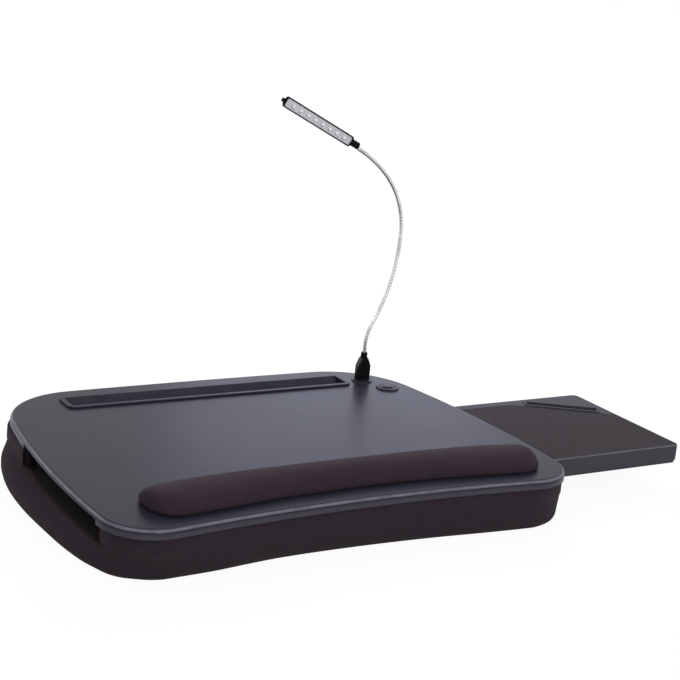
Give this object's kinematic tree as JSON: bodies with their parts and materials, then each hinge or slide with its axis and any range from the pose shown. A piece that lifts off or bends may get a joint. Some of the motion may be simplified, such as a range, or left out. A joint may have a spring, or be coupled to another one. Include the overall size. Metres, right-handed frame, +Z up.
{
  "type": "lap tray with cushion",
  "caption": "Lap tray on a fabric cushion with a padded wrist rest, a rear slot, a slide-out deck with an inlaid pad and a plug-in gooseneck lamp.",
  "frame": {"origin": "middle of the cushion's flat underside", "axes": "+X along the tray's width towards the lamp and the slide-out deck, +Y from the user to the rear edge, +Z up"},
  "size_m": [0.6746, 0.3783, 0.3679],
  "materials": {
    "deck_plastic": "fine grain moulding",
    "slide_plastic": "fine grain moulding",
    "inner_plastic": "plain moulding",
    "rest_fabric": "knitted cover",
    "cushion_fabric": "woven cover",
    "foam": "open cell foam",
    "pad_fabric": "fine woven face",
    "steel": "zinc plated",
    "nickel": "bright plated",
    "black_gloss": "polished",
    "black_rubber": "satin",
    "board": "solder mask",
    "light_board": "satin",
    "lens": "clear moulding",
    "cell": "printed sleeve, plain",
    "white_plastic": "plain moulding"
  },
  "bodies": {
    "tray": {"top_deck": "deck_plastic", "base_pan": "inner_plastic", "deck_screws": "steel", "front_guide_rail": "inner_plastic", "rear_guide_rail": "inner_plastic", "rail_screws": "steel", "rear_slot_tray": "deck_plastic", "cushion_cover": "cushion_fabric", "cushion_foam": "foam", "front_wall_cover": "cushion_fabric", "rear_wall_cover": "cushion_fabric", "wrist_rest_cover": "rest_fabric", "wrist_rest_foam": "foam", "usb_bezel": "deck_plastic", "usb_receptacle": "steel", "usb_tongue": "white_plastic", "switch_bezel": "black_gloss", "switch_body": "inner_plastic", "circuit_board": "board", "board_screws": "steel", "battery_box": "inner_plastic", "batteries": "cell", "battery_contacts": "steel", "battery_leads": "black_rubber"},
    "mouse_deck": {"mouse_deck_top": "slide_plastic", "mouse_deck_bottom": "slide_plastic", "mouse_pad": "pad_fabric", "corner_slot_right": "slide_plastic", "corner_slot_left": "slide_plastic", "mouse_deck_screws": "steel"},
    "power_button": {"power_button": "black_gloss", "switch_plunger": "white_plastic"},
    "battery_door": {"battery_door": "inner_plastic"},
    "lamp": {"plug_body": "black_gloss", "plug_shell": "steel", "plug_insert": "white_plastic", "strain_relief": "black_rubber", "gooseneck_lower": "nickel"},
    "neck_top": {"gooseneck_upper": "nickel"},
    "lamp_head": {"head_collar": "black_rubber", "head_shell": "black_gloss", "led_board": "light_board", "leds": "lens"}
  },
  "joints": [
    {"name": "mouse_deck_slide", "type": "slide", "parent": "tray", "child": "mouse_deck", "axis": [1, 0, 0], "range_m": [-0.368, 0]},
    {"name": "button_press", "type": "slide", "parent": "tray", "child": "power_button", "axis": [0, 0, -1], "range_m": [0, 0.0015], "stiffness_N_per_m": 1200, "springref_m": -0.0004},
    {"name": "battery_door_hinge", "type": "hinge", "parent": "tray", "child": "battery_door", "pos_m": [0.168, 0.1146, 0.0069], "axis": [1, 0, 0], "range_deg": [0, 90]},
    {"name": "lamp_unplug", "type": "slide", "parent": "tray", "child": "lamp", "axis": [0, 0, 1], "range_m": [0, 0.02]},
    {"name": "neck_lower_bend", "type": "hinge", "parent": "lamp", "child": "neck_top", "pos_m": [0.2, 0.14, 0.1476], "axis": [1, 0, 0], "range_deg": [-60, 60], "deforming": ["gooseneck_lower"]},
    {"name": "neck_upper_bend", "type": "hinge", "parent": "neck_top", "child": "lamp_head", "pos_m": [0.209, 0.14, 0.2676], "axis": [0, 1, 0], "range_deg": [-60, 60], "deforming": ["gooseneck_upper"]}
  ]
}
